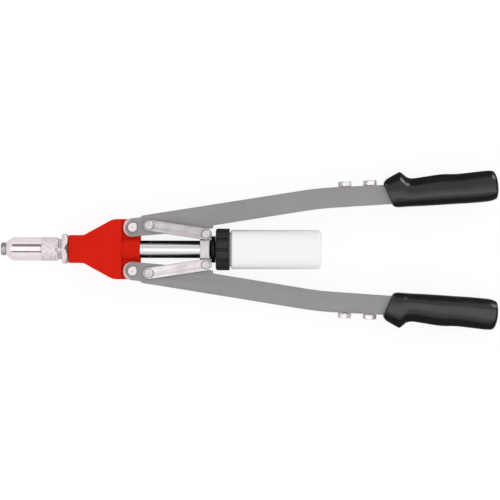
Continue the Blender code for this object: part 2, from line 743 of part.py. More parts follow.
def jaw_case():
    cone_front = JAW_TIP_RADIUS + GAP
    cone_rear_x = JAW_FRONT + (CASE_CHAMBER - cone_front) / math.tan(CONE_ANGLE)
    return turned("case", (
        (CASE_REAR, CASE_RADIUS), (CASE_FRONT + 1.2, CASE_RADIUS), (CASE_FRONT, CASE_RADIUS - 1.2),
        (CASE_FRONT, cone_front - 0.19), (cone_rear_x, CASE_CHAMBER), (CASE_REAR, CASE_CHAMBER)))


def jaw(turn_degrees):
    """One of three jaws, a third of a cone with a toothed bore."""
    rear = JAW_FRONT + JAW_LENGTH
    rear_radius = JAW_TIP_RADIUS + JAW_LENGTH * math.tan(CONE_ANGLE)
    tooth, half_tooth = 2.4, 1.2
    inside = []
    place_x = JAW_FRONT
    while place_x < rear - tooth / 2.0:
        inside += [(place_x, JAW_BORE), (place_x + half_tooth, JAW_BORE + 0.35)]
        place_x += tooth
    cone = turned("cone", [(rear, rear_radius), (JAW_FRONT, JAW_TIP_RADIUS)] + inside
                  + [(rear, JAW_BORE + 1.2)], steps=30)
    reach = 20.0
    third = math.radians(60.0)
    tip = JAW_SLIT / 2.0 / math.sin(third)
    corners = [(tip, 0.0), (tip + reach * math.cos(third), reach * math.sin(third)),
               (tip + reach * math.cos(third), -reach * math.sin(third))]
    wedge = plate("wedge", corners, JAW_FRONT - 2.0, rear + 2.0)
    move_mesh(wedge, Matrix.Rotation(math.radians(turn_degrees), 4, "X")
              @ Matrix.Rotation(math.pi / 2.0, 4, "Y"))
    return boolean(cone, wedge, "INTERSECT")


def jaw_pusher():
    front = JAW_FRONT + JAW_LENGTH + GAP
    head_rear = front + PUSHER_HEAD_LENGTH
    return turned("pusher", (
        (PUSHER_REAR, PUSHER_STEM_RADIUS), (head_rear, PUSHER_STEM_RADIUS),
        (head_rear, PUSHER_HEAD_RADIUS), (front, PUSHER_HEAD_RADIUS), (front, PUSHER_BORE),
        (PUSHER_REAR, PUSHER_BORE)), steps=24)


def jaw_spring():
    """Coil between the pusher's head and the end of the pull tube."""
    front = JAW_FRONT + JAW_LENGTH + 2.0 * GAP + PUSHER_HEAD_LENGTH + SPRING_WIRE_RADIUS
    rear = TUBE_FRONT - GAP - SPRING_WIRE_RADIUS
    per_turn = 12
    curve = bpy.data.curves.new("spring", "CURVE")
    curve.dimensions = "3D"
    curve.bevel_depth = SPRING_WIRE_RADIUS * MM
    curve.bevel_resolution = 1
    curve.use_fill_caps = True
    spline = curve.splines.new("POLY")
    count = SPRING_TURNS * per_turn
    spline.points.add(count)
    for index, spot in enumerate(spline.points):
        angle = 2.0 * math.pi * index / per_turn
        x = front + (rear - front) * index / count
        spot.co = (x * MM, SPRING_RADIUS * math.cos(angle) * MM,
                   SPRING_RADIUS * math.sin(angle) * MM, 1.0)
    obj = bake_curve(link_object("spring", curve))
    return obj


def bake_curve(source):
    bpy.context.view_layer.update()
    mesh = bpy.data.meshes.new_from_object(
        source.evaluated_get(bpy.context.evaluated_depsgraph_get()))
    bpy.data.objects.remove(source, do_unlink=True)
    bm = bmesh.new()
    bm.from_mesh(mesh)
    bmesh.ops.remove_doubles(bm, verts=bm.verts, dist=1e-6)
    bmesh.ops.recalc_face_normals(bm, faces=bm.faces)
    return mesh_object("spring", bm)


def pull_tube():
    shoulder = CASE_REAR + GAP
    return turned("tube", (
        (TUBE_REAR, TUBE_RADIUS - 0.6), (TUBE_REAR - 0.6, TUBE_RADIUS), (shoulder, TUBE_RADIUS),
        (shoulder, TUBE_SPIGOT_RADIUS), (TUBE_FRONT, TUBE_SPIGOT_RADIUS), (TUBE_FRONT, TUBE_BORE),
        (TUBE_SOCKET_FRONT, TUBE_BORE), (TUBE_SOCKET_FRONT, TUBE_SOCKET_RADIUS),
        (TUBE_REAR, TUBE_SOCKET_RADIUS)))


def crosshead():
    """Block on the tube with thinner rounded ends for the links, relieved round the collar."""
    disc, small_disc = COLLAR_RADIUS + GAP, COLLAR_SMALL_RADIUS + GAP
    relief = COLLAR_STEP - GAP
    ends = rounded_outline((
        (CROSS_FRONT, -CROSS_HALF_LENGTH, 4.5), (CROSS_END_REAR, -CROSS_HALF_LENGTH, 5.5),
        (CROSS_END_REAR, -disc, 0.0), (relief, -disc, 0.0), (relief, -small_disc, 0.0),
        (CROSS_REAR, -small_disc, 0.0), (CROSS_REAR, small_disc, 0.0), (relief, small_disc, 0.0),
        (relief, disc, 0.0), (CROSS_END_REAR, disc, 0.0),
        (CROSS_END_REAR, CROSS_HALF_LENGTH, 5.5),
        (CROSS_FRONT, CROSS_HALF_LENGTH, 4.5)))
    block = bevel(plate("ends", ends, -FLANGE_OUTER, FLANGE_OUTER), 0.5, segments=1)
    middle = bevel(box("middle", (CROSS_FRONT, -CROSS_HALF_WIDTH, -CROSS_MIDDLE_HALF),
                       (CROSS_REAR, CROSS_HALF_WIDTH, CROSS_MIDDLE_HALF)), 0.8, segments=2)
    join(block, middle)
    cut(block, rod("bore", TUBE_RADIUS + GAP, CROSS_FRONT - 5.0, CROSS_END_REAR + 5.0,
                   TURN_STEPS))
    for side in (1.0, -1.0):
        cut(block, rod("pin_hole", RIVET_RADIUS + GAP, -20.0, 20.0, along="Z",
                       at=(PIVOT_C[0], side * PIVOT_C[1], 0.0)))
    return block


def bottle_collar():
    """Plastic spool: a spigot in the tube, two visible discs, and a snap flange in the cap."""
    spigot_front = TUBE_SOCKET_FRONT + GAP
    spigot = TUBE_SOCKET_RADIUS - GAP
    neck = CAP_HOLE - GAP
    flange_front = CAP_FRONT + CAP_WALL + GAP
    flange_rear = flange_front + 2.0
    return turned("collar", (
        (flange_rear, neck + 1.6), (flange_front + 0.6, neck + 2.2), (flange_front, neck + 2.2),
        (flange_front, neck), (COLLAR_REAR, neck), (COLLAR_REAR, COLLAR_RADIUS - 0.4),
        (COLLAR_REAR - 0.4, COLLAR_RADIUS), (COLLAR_STEP + 0.8, COLLAR_RADIUS),
        (COLLAR_STEP, COLLAR_RADIUS - 0.8), (COLLAR_STEP, COLLAR_SMALL_RADIUS),
        (COLLAR_FRONT, COLLAR_SMALL_RADIUS), (COLLAR_FRONT, spigot), (spigot_front, spigot),
        (spigot_front, TUBE_BORE), (flange_rear, TUBE_BORE)), steps=30)


def link_plate(back=False):
    """Flat link between pivots B and C."""
    start, end = Vector(PIVOT_B), Vector(PIVOT_C)
    along = (end - start).normalized()
    side = Vector((-along.y, along.x))
    r = LINK_END_RADIUS
    corners = [start - along * r + side * r, end + along * r + side * r,
               end + along * r - side * r, start - along * r - side * r]
    low = FLANGE_OUTER + GAP
    high = low + LINK_THICKNESS
    if back:
        low, high = -high, -low
    outline = rounded_outline([(*corner, r) for corner in corners])
    link = bevel(plate("link", outline, low, high), 0.5, segments=1)
    for point in (PIVOT_B, PIVOT_C):
        cut(link, rod("hole", RIVET_RADIUS + GAP, -20.0, 20.0, along="Z", at=(*point, 0.0)))
    return link


# --- the mandrel bottle ----------------------------------------------------------------------

def bottle_cap():
    corner = 2.6
    arc = [(CAP_FRONT + corner - corner * math.sin(angle), CAP_RADIUS - corner
            + corner * math.cos(angle)) for angle in (math.radians(a) for a in (0, 30, 60, 90))]
    cap = turned("cap", [(CAP_REAR, CAP_RADIUS - 0.4), (CAP_REAR - 0.4, CAP_RADIUS)] + arc + [
        (CAP_FRONT, CAP_HOLE), (CAP_FRONT + CAP_WALL, CAP_HOLE), (CAP_FRONT + CAP_WALL, CAP_BORE),
        (CAP_REAR, CAP_BORE)], steps=48)
    groove_radius, groove_lift = 1.5, 0.5
    for index in range(CAP_GROOVES):
        angle = math.radians(86.0 + 360.0 * index / CAP_GROOVES)
        reach = CAP_RADIUS + groove_lift
        spot = (0.0, reach * math.cos(angle), reach * math.sin(angle))
        cut(cap, rod("groove", groove_radius, CAP_FRONT + 0.9, CAP_REAR - 1.6, 8, at=spot))
    return cap


def bottle():
    shoulder, corner = 2.0, 5.0
    inside_radius = BOTTLE_RADIUS - BOTTLE_WALL
    neck_inside = BOTTLE_NECK_RADIUS - BOTTLE_WALL
    rear_arc = [(BOTTLE_REAR - corner + corner * math.cos(a), BOTTLE_RADIUS - corner
                 + corner * math.sin(a)) for a in (math.radians(d) for d in (0, 22, 45, 68, 90))]
    front_arc = [(BOTTLE_SHOULDER + shoulder - shoulder * math.sin(a), BOTTLE_RADIUS - shoulder
                  + shoulder * math.cos(a)) for a in (math.radians(d) for d in (0, 30, 60, 90))]
    outside = [(BOTTLE_REAR - 1.2, 0.0), (BOTTLE_REAR - 1.2, 13.0), (BOTTLE_REAR, 14.5)]
    outside += rear_arc + front_arc
    outside += [(BOTTLE_SHOULDER, BOTTLE_NECK_RADIUS), (BOTTLE_MOUTH, BOTTLE_NECK_RADIUS)]
    inner_corner = corner - BOTTLE_WALL
    inner_rear = BOTTLE_REAR - BOTTLE_WALL
    inside = [(BOTTLE_MOUTH, neck_inside), (BOTTLE_SHOULDER + 0.6, neck_inside),
              (BOTTLE_SHOULDER + 2.4, inside_radius),
              (inner_rear - inner_corner, inside_radius),
              (inner_rear - 1.2, inside_radius - inner_corner * 0.7),
              (inner_rear, 14.5), (inner_rear - 1.2, 13.0), (inner_rear - 1.2, 0.0)]
    return turned("bottle", outside + inside, steps=TURN_STEPS, closed=False)


# --- assembly --------------------------------------------------------------------------------

def build_head(tool):
    place(body_casting(), "body_casting", "red_paint", tool)
    place(jaw_housing(), "jaw_housing", "machined_steel", tool)
    place(nosepiece(), "nosepiece", "machined_steel", tool)
    place(lock_nut(), "lock_nut", "machined_steel", tool)
    place(guide_bush(), "guide_bush", "bronze", tool)


def build_pull_rod(pull):
    place(pull_tube(), "pull_tube", "chrome", pull)
    place(jaw_case(), "jaw_case", "machined_steel", pull)
    place(crosshead(), "crosshead", "zinc_plate", pull)
    place(bottle_collar(), "bottle_collar", "black_plastic", pull)
    place(jaw_spring(), "jaw_spring", "spring_steel", pull)
    pusher = joint_empty("jaw_pusher_slide", parent=pull)
    place(jaw_pusher(), "jaw_pusher", "machined_steel", pusher)
    for index in range(3):
        slide = joint_empty(f"jaw_{index + 1}_slide", parent=pull)
        place(jaw(90.0 + 120.0 * index), f"jaw_{index + 1}", "machined_steel", slide)
    turn = joint_empty("cap_turn", parent=pull)
    place(bottle_cap(), "bottle_cap", "black_plastic", turn)
    place(bottle(), "bottle", "white_plastic", joint_empty("bottle_pull", parent=turn))


def build_sides(tool, pull):
    """The lower arm, links and pins are copies of the upper ones, turned over."""
    layer_top = FLANGE_OUTER + 2.0 * GAP + LINK_THICKNESS
    pieces = {}
    for side in ("upper", "lower"):
        lower = side == "lower"
        pivot = joint_empty(f"{side}_arm_pivot", PIVOT_A, tool, lower)
        fixed = joint_empty(f"{side}_pin_seat", PIVOT_A, tool, lower)
        link_pivot = joint_empty(f"{side}_link_pivot", PIVOT_C, pull, lower)
        cross = joint_empty(f"{side}_crosshead_seat", PIVOT_C, pull, lower)
        wanted = (
            ("arm_channel", "grey_paint", pivot, arm_channel),
            ("grip_bar", "machined_steel", pivot, grip_bar),
            ("grip", "black_grip", pivot, grip),
            ("bolt_front", "zinc_plate", pivot, lambda: hex_bolt(BOLT_X[0], 45.0)),
            ("bolt_rear", "zinc_plate", pivot, lambda: hex_bolt(BOLT_X[1], 37.0)),
            ("pivot_pin", "zinc_plate", fixed, lambda: headed_pin(
                "pin", PIVOT_A, PIN_A_RADIUS, PIN_A_HEAD, FLANGE_OUTER + GAP, 2.2)),
            ("link_front", "zinc_plate", link_pivot, link_plate),
            ("link_back", "zinc_plate", link_pivot, lambda: link_plate(back=True)),
            ("link_rivet", "zinc_plate", link_pivot, lambda: headed_pin(
                "rivet", PIVOT_B, RIVET_RADIUS, RIVET_B_HEAD, layer_top, 1.8, dimple=1.6)),
            ("crosshead_rivet", "zinc_plate", cross, lambda: headed_pin(
                "rivet", PIVOT_C, RIVET_RADIUS, RIVET_C_HEAD, layer_top, 1.7, dimple=1.6)),
        )
        for name, finish, parent, make in wanted:
            if name in pieces:
                copy_of(pieces[name], f"{side}_{name}", finish, parent)
            else:
                pieces[name] = place(make(), f"{side}_{name}", finish, parent)


def build():
    tool = joint_empty("tool")
    tool.location = (-LENGTH_CENTRE_X * MM, 0.0, AXIS_HEIGHT * MM)
    pull = joint_empty("pull_slide", parent=tool)
    build_head(tool)
    build_pull_rod(pull)
    build_sides(tool, pull)


empty_scene()
PARTS = make_collection("hand_riveter")
WORKBENCH = make_collection("workbench")
build()
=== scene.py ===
"""Looks of a two-hand long-arm blind riveter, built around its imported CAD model.

Lengths are in millimetres in tool coordinates, as in the CAD source, and are turned into metres
where a mesh is made.  x is measured from the plane of the arm pivots, y from the tool axis and
z from the plane in which the arms swing.
"""

import json
import math

import bmesh
import bpy
from mathutils import Matrix, Vector

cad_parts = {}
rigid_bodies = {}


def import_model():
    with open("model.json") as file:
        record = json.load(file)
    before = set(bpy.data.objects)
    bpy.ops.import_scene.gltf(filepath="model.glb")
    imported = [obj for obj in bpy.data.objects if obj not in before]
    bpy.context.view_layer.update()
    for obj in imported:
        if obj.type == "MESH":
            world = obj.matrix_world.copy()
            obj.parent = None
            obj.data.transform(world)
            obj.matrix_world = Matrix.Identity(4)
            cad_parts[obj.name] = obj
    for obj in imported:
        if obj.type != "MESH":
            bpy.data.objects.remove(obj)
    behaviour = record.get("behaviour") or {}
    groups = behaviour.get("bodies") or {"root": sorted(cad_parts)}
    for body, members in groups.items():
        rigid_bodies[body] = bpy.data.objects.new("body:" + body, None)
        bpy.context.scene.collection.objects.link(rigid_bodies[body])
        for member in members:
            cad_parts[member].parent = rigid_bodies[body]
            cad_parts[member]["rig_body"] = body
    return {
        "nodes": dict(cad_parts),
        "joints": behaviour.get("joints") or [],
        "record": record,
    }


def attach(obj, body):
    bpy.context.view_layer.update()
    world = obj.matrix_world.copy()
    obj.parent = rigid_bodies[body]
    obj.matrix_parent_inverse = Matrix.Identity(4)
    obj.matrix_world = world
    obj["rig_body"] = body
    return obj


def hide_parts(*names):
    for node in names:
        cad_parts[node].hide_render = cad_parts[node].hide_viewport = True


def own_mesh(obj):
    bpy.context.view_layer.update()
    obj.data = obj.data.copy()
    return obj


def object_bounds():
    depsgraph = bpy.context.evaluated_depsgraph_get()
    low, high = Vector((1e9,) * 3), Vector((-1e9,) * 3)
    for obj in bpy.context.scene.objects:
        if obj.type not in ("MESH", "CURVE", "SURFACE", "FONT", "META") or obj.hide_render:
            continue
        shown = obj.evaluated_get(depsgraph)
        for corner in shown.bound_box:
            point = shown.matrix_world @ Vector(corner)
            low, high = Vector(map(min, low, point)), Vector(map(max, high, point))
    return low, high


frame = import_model()
CAD_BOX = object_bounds()

MM = 0.001
JOINTS = {joint["name"]: joint for joint in frame["joints"]}
PIVOT = Vector(JOINTS["upper_arm_pivot"]["pos_m"])
ORIGIN = Vector((PIVOT.x, 0.0, PIVOT.z))
SLOT_OF = {part["node"]: part["material_slot"] for part in frame["record"]["subparts"]}


# --- mesh helpers ----------------------------------------------------------------------------

def link_mesh(name, bm):
    bmesh.ops.recalc_face_normals(bm, faces=bm.faces)
    mesh = bpy.data.meshes.new(name)
    bm.to_mesh(mesh)
    bm.free()
    obj = bpy.data.objects.new(name, mesh)
    bpy.context.scene.collection.objects.link(obj)
    return obj


def baked(obj):
    """Replace an object's mesh with its evaluated one."""
    bpy.context.view_layer.update()
    depsgraph = bpy.context.evaluated_depsgraph_get()
    mesh = bpy.data.meshes.new_from_object(obj.evaluated_get(depsgraph))
    obj.modifiers.clear()
    obj.data = mesh
    return obj


def smooth(obj, degrees=35.0):
    obj.data.shade_smooth()
    obj.data.set_sharp_from_angle(angle=math.radians(degrees))
    return obj


def cut(target, *cutters):
    for cutter in cutters:
        modifier = target.modifiers.new("cut", "BOOLEAN")
        modifier.operation = "DIFFERENCE"
        modifier.object = cutter
        baked(target)
        bpy.data.objects.remove(cutter, do_unlink=True)
    return target


def cad_copy(node):
    """The CAD node's own solid, without the triangle edges on its flat faces."""
    bm = bmesh.new()
    bm.from_mesh(frame["nodes"][node].data)
    bmesh.ops.remove_doubles(bm, verts=bm.verts, dist=1e-6)
    bmesh.ops.dissolve_limit(bm, angle_limit=math.radians(0.3), verts=bm.verts, edges=bm.edges)
    return link_mesh(node + "_piece", bm)


def refined(node, width):
    """Finer stand-in for a CAD node: the same solid, with its sharp edges broken."""
    obj = cad_copy(node)
    modifier = obj.modifiers.new("edges", "BEVEL")
    modifier.width = width * MM
    modifier.segments = 2
    modifier.limit_method = "ANGLE"
    modifier.angle_limit = math.radians(25.0)
    modifier.use_clamp_overlap = True
    return smooth(baked(obj))


def cast(node, voxel, rounds):
    """Stand-in for a casting: the same solid with soft edges and fillets all over."""
    obj = cad_copy(node)
    remesh = obj.modifiers.new("skin", "REMESH")
    remesh.mode = "VOXEL"
    remesh.voxel_size = voxel * MM
    soften = obj.modifiers.new("soften", "SMOOTH")
    soften.factor = 0.5
    soften.iterations = rounds
    obj = baked(obj)
    obj.data.shade_smooth()
    return obj


def rounded(corners, step=12.0):
    """Outline through (x, y, radius) corners, each rounded by an arc of that radius.

    The first and last corner have no radius where the outline is open.
    """
    points = []
    count = len(corners)
    for index, (x, y, radius) in enumerate(corners):
        here = Vector((x, y))
        if radius <= 0.0:
            points.append(here)
            continue
        to_last = (Vector(corners[index - 1][:2]) - here).normalized()
        to_next = (Vector(corners[(index + 1) % count][:2]) - here).normalized()
        turn = math.pi - to_last.angle(to_next)
        centre = here + (to_last + to_next).normalized() * (radius / math.cos(turn / 2.0))
        start = here + to_last * radius * math.tan(turn / 2.0) - centre
        sign = 1.0 if to_last.x * to_next.y - to_last.y * to_next.x < 0.0 else -1.0
        steps = max(2, math.ceil(math.degrees(turn) / step))
        for part in range(steps + 1):
            points.append(centre + Matrix.Rotation(sign * turn * part / steps, 2) @ start)
    return points


def lathe(name, rings, around=96, closed=True, along="X", at=(0.0, 0.0, 0.0)):
    """Body of rings about an axis.  A ring is (place, radius), and its radius may be a function
    of the angle.  A closed body is hollow, and its last ring meets its first.
    """
    bm = bmesh.new()
    loops = []
    for place, radius in rings:
        if radius == 0.0:
            loops.append([bm.verts.new((place * MM, 0.0, 0.0))] * around)
            continue
        loop = []
        for step in range(around):
            angle = 2.0 * math.pi * step / around
            reach = (radius(angle) if callable(radius) else radius) * MM
            loop.append(bm.verts.new((place * MM, reach * math.cos(angle),
                                      reach * math.sin(angle))))
        loops.append(loop)
    pairs = list(zip(loops, loops[1:]))
    if closed:
        pairs.append((loops[-1], loops[0]))
    for first, second in pairs:
        for step in range(around):
            after = (step + 1) % around
            corners = [first[step], first[after], second[after], second[step]]
            corners = [corner for index, corner in enumerate(corners)
                       if corner not in corners[:index]]
            bm.faces.new(corners)
    turn = Matrix.Rotation(-math.pi / 2.0, 4, "Y") if along == "Z" else Matrix.Identity(4)
    bmesh.ops.transform(bm, matrix=Matrix.Translation(ORIGIN + Vector(at) * MM) @ turn,
                        verts=bm.verts)
    return link_mesh(name, bm)


def prism(name, outline, low, high):
    """Straight-sided cutter between two heights, with its outline in x and y."""
    bm = bmesh.new()
    base = [bm.verts.new(ORIGIN + Vector((x, y, low)) * MM) for x, y in outline]
    top = [bm.verts.new(ORIGIN + Vector((x, y, high)) * MM) for x, y in outline]
    bm.faces.new(base)
    bm.faces.new(top)
    count = len(outline)
    for index in range(count):
        after = (index + 1) % count
        bm.faces.new((base[index], base[after], top[after], top[index]))
    return link_mesh(name, bm)


def finish_piece(obj, node):
    """Give a piece the finish and the body of the CAD node that it stands for."""
    obj.data.materials.clear()
    obj.data.materials.append(FINISHES.get(node, MATERIALS[SLOT_OF[node]]))
    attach(obj, frame["nodes"][node]["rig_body"])
    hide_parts(node)
    return obj


# --- material helpers ------------------------------------------------------------------------

class Recipe:
    """A material's node tree, with short ways to add what the finishes share."""

    def __init__(self, name, colour, metallic=0.0, roughness=0.5):
        self.material = bpy.data.materials.new(name)
        self.material.use_nodes = True
        self.tree = self.material.node_tree
        self.shader = self.tree.nodes["Principled BSDF"]
        self.colour = self.rgb(colour)
        self.roughness = roughness
        self.set("Base Color", self.colour)
        self.set("Metallic", metallic)
        self.place = self.add("ShaderNodeTexCoord").outputs["Object"]
        self.normal = None

    @staticmethod
    def rgb(colour):
        return (*colour, 1.0)

    def paint(self, colour):
        """Take a socket as the base colour, so that a variant can stain it further."""
        self.colour = colour
        self.set("Base Color", colour)

    def set(self, socket, value):
        if isinstance(value, bpy.types.NodeSocket):
            self.tree.links.new(value, self.shader.inputs[socket])
        else:
            self.shader.inputs[socket].default_value = value

    def add(self, kind, inputs=None, **settings):
        made = self.tree.nodes.new(kind)
        for key, value in settings.items():
            setattr(made, key, value)
        for key, value in (inputs or {}).items():
            if isinstance(value, bpy.types.NodeSocket):
                self.tree.links.new(value, made.inputs[key])
            else:
                made.inputs[key].default_value = value
        return made

    def from_axis(self):
        """Coordinates in metres from the middle of the arm pivots, on the tool axis."""
        moved = self.add("ShaderNodeVectorMath", {0: self.place, 1: tuple(ORIGIN)},
                         operation="SUBTRACT").outputs["Vector"]
        return self.add("ShaderNodeSeparateXYZ", {"Vector": moved}).outputs

    def facing(self):
        """Components of the surface's direction, which move along with the piece."""
        normal = self.add("ShaderNodeTexCoord").outputs["Normal"]
        return self.add("ShaderNodeSeparateXYZ", {"Vector": normal}).outputs

    def reach(self, first, second):
        """Length of the vector with these two components."""
        squares = [self.math("MULTIPLY", value, value) for value in (first, second)]
        return self.math("SQRT", self.math("ADD", *squares))

    def between(self, place, start, full, last, end):
        """Rise from 0 at start to 1 at full, and fall from 1 at last to 0 at end, in millimetres."""
        return self.math("MULTIPLY", self.spread(place, start * MM, full * MM, 0.0, 1.0),
                         self.spread(place, last * MM, end * MM, 1.0, 0.0))

    def stretched(self, scale):
        """Texture coordinates with a different scale along each axis."""
        return self.add("ShaderNodeMapping", {"Vector": self.place, "Scale": scale}).outputs[0]

    def noise(self, scale, detail=3.0, rough=0.55, place=None):
        return self.add("ShaderNodeTexNoise", {
            "Vector": place or self.place, "Scale": scale, "Detail": detail,
            "Roughness": rough}).outputs["Fac"]

    def spread(self, value, low, high, to_low, to_high):
        """Map a value from one range onto another, held at both ends."""
        return self.add("ShaderNodeMapRange", {
            "Value": value, "From Min": low, "From Max": high,
            "To Min": to_low, "To Max": to_high}).outputs["Result"]

    def vary(self, noise, low, high):
        """Spread a noise over a range.  Nearly all of its own values lie between 0.3 and 0.7."""
        return self.spread(noise, 0.3, 0.7, low, high)

    def math(self, operation, first, second=0.5):
        return self.add("ShaderNodeMath", {0: first, 1: second},
                        operation=operation).outputs[0]

    def mix(self, factor, first, second):
        """Blend two colours, given as sockets or as plain colours."""
        made = self.add("ShaderNodeMix", data_type="RGBA")
        for index, value in ((0, factor), (6, first), (7, second)):
            if isinstance(value, bpy.types.NodeSocket):
                self.tree.links.new(value, made.inputs[index])
            else:
                made.inputs[index].default_value = value
        return made.outputs[2]

    def edges(self, radius):
        """1 along convex and concave edges and 0 on flats."""
        eased = self.add("ShaderNodeBevel", {"Radius": radius * MM}, samples=4).outputs[0]
        flat = self.add("ShaderNodeNewGeometry").outputs["Normal"]
        match = self.add("ShaderNodeVectorMath", {0: eased, 1: flat},
                         operation="DOT_PRODUCT").outputs["Value"]
        return self.spread(match, 0.995, 0.93, 0.0, 1.0)

    def crevice_shade(self, reach):
        """1 deep in corners and grooves, where shade falls, and 0 in the open: the mask for painted
        shade.
        """
        open_share = self.add("ShaderNodeAmbientOcclusion", {"Distance": reach * MM},
                              samples=6).outputs["AO"]
        return self.spread(open_share, 0.35, 0.9, 1.0, 0.0)

    def bump(self, height, strength, distance):
        inputs = {"Height": height, "Strength": strength, "Distance": distance * MM}
        if self.normal is not None:
            inputs["Normal"] = self.normal
        self.normal = self.add("ShaderNodeBump", inputs).outputs["Normal"]
        self.set("Normal", self.normal)

    def done(self):
        self.set("Roughness", self.roughness)
        return self.material


def red_paint():
    """Sprayed enamel on a die casting."""
    r = Recipe("red_enamel", (0.66, 0.012, 0.002))
    colour = r.mix(r.vary(r.noise(45.0), 0.0, 1.0), r.colour, r.rgb((0.61, 0.009, 0.001)))
    # Painted shade: darker red deep in corners and grooves.
    colour = r.mix(r.math("MULTIPLY", r.crevice_shade(3.0), 0.4), colour, r.rgb((0.16, 0.004, 0.002)))
    wear = r.math("MULTIPLY", r.edges(0.5), r.spread(r.noise(600.0), 0.45, 0.7, 0.0, 0.5))
    r.paint(r.mix(wear, colour, r.rgb((0.40, 0.012, 0.004))))
    r.roughness = r.vary(r.noise(120.0), 0.32, 0.46)
    r.set("Specular IOR Level", 0.08)
    r.bump(r.noise(900.0, 2.0), 0.25, 0.05)
    r.bump(r.noise(170.0, 1.0), 0.2, 0.12)
    return r.done()


def grey_paint():
    """Enamel on the pressed arms, with worn edges and a painted highlight round their front ends."""
    eye, rim = 22.3, 6.8
    r = Recipe("grey_enamel", (0.300, 0.290, 0.292))
    colour = r.mix(r.vary(r.noise(35.0, 4.0), 0.0, 1.0), r.colour, r.rgb((0.272, 0.263, 0.264)))
    speck = r.spread(r.noise(1500.0, 1.0), 0.66, 0.74, 0.0, 0.5)
    colour = r.mix(speck, colour, r.rgb((0.38, 0.37, 0.37)))
    axis = r.from_axis()
    off_eye = r.math("SUBTRACT", r.math("ABSOLUTE", axis["Y"]), eye * MM)
    # Painted highlight: a bright band round each arm's front end about its pivot eye, mixed below
    # with wear along the edges.
    front = r.math("MULTIPLY", r.spread(axis["X"], -7.0 * MM, -1.0 * MM, 1.0, 0.0),
                   r.spread(r.reach(axis["X"], off_eye), rim * MM, (rim + 2.2) * MM, 0.0, 1.0))
    wear_and_highlight = r.math("MAXIMUM", front, r.math("MULTIPLY", r.edges(0.6), 0.3))
    wear = r.math("MULTIPLY", wear_and_highlight, r.spread(r.noise(300.0), 0.3, 0.6, 0.7, 1.0))
    r.paint(r.mix(wear, colour, r.rgb((0.88, 0.70, 0.66))))
    r.roughness = r.vary(r.noise(90.0), 0.42, 0.56)
    r.set("Specular IOR Level", 0.25)
    r.bump(r.noise(1100.0, 2.0), 0.3, 0.04)
    return r.done()


def turned_steel(name, level, metallic, rough=0.28, shade_level=0.16):
    """Recipe of zinc-plated steel with fine turning marks round the tool axis, and painted shade in
    its corners and grooves.
    """
    r = Recipe(name, (level, 0.92 * level, 0.937 * level), metallic)
    rings = r.noise(1.0, 3.0, 0.6, r.stretched((4200.0, 90.0, 90.0)))
    cloud = r.noise(130.0, 4.0)
    colour = r.mix(r.vary(cloud, 0.0, 1.0), r.colour,
                   r.rgb((0.9 * level, 0.828 * level, 0.843 * level)))
    # Painted shade: darker deep in corners and grooves.
    r.paint(r.mix(r.crevice_shade(1.6), colour, r.rgb((shade_level, 0.91 * shade_level, 0.91 * shade_level))))
    r.roughness = r.math("ADD", r.vary(rings, 0.0, 0.1), r.vary(cloud, rough, rough + 0.1))
    r.bump(rings, 0.12, 0.03)
    return r


def sleeve_steel():
    """Turned steel, with painted shade on the sideways-facing walls of the wrench recesses and worn
    patches on the knurl.
    """
    skin = 12.45
    r = turned_steel("turned_zinc", 0.90, 0.15, shade_level=0.3)
    axis = r.from_axis()
    sunk = r.spread(r.reach(axis["Y"], axis["Z"]), (skin - 0.15) * MM, skin * MM, 1.0, 0.0)
    recess = r.math("MULTIPLY", sunk, r.between(axis["X"], -128.4, -128.0, -97.6, -97.3))
    # Painted shade: the walls of the wrench recesses are darkened where they face sideways.
    slope = r.spread(r.math("ABSOLUTE", r.facing()["Y"]), 0.12, 0.3, 0.0, 0.72)
    r.set("Metallic", r.spread(recess, 0.0, 1.0, 0.15, 0.4))
    r.set("Specular IOR Level", 0.35)
    knurl = r.between(axis["X"], -97.0, -96.0, -80.0, -79.0)
    patches = r.spread(r.noise(480.0, 3.0), 0.46, 0.62, 0.0, 0.5)
    r.paint(r.mix(r.math("MULTIPLY", knurl, patches), r.colour, r.rgb((0.46, 0.42, 0.42))))
    r.paint(r.mix(r.math("MULTIPLY", recess, slope), r.colour, r.rgb((0.14, 0.12, 0.12))))
    return r.done()


def nut_steel():
    """Turned steel with painted shade on its chamfer on the side of the casting."""
    r = turned_steel("bright_nut", 0.89, 0.3)
    side = r.math("ABSOLUTE", r.from_axis()["Y"])
    # Painted shade on faces that turn towards the casting, strongest near the axis.
    chamfer_shade = r.math("MULTIPLY", r.spread(r.facing()["X"], 0.35, 0.60, 0.0, 1.0),
                   r.spread(side, 4.0 * MM, 13.0 * MM, 0.88, 0.25))
    r.paint(r.mix(chamfer_shade, r.colour, r.rgb((0.10, 0.07, 0.068))))
    return r.done()


def zinc_plate(name, level):
    """Brushed zinc plating on flat and small parts."""
    r = Recipe(name, (level, 0.927 * level, 0.938 * level), 0.55)
    grain = r.noise(1.0, 4.0, 0.6, r.stretched((160.0, 1900.0, 1900.0)))
    cloud = r.noise(60.0, 5.0)
    colour = r.mix(r.vary(cloud, 0.0, 1.0), r.colour,
                   r.rgb((0.76 * level, 0.7 * level, 0.707 * level)))
    # Painted shade: darker deep in corners and grooves.
    r.paint(r.mix(r.crevice_shade(1.6), colour, r.rgb((0.12, 0.11, 0.11))))
    r.roughness = r.math("ADD", r.vary(grain, 0.0, 0.1), r.vary(cloud, 0.3, 0.44))
    r.bump(grain, 0.15, 0.03)
    return r.done()


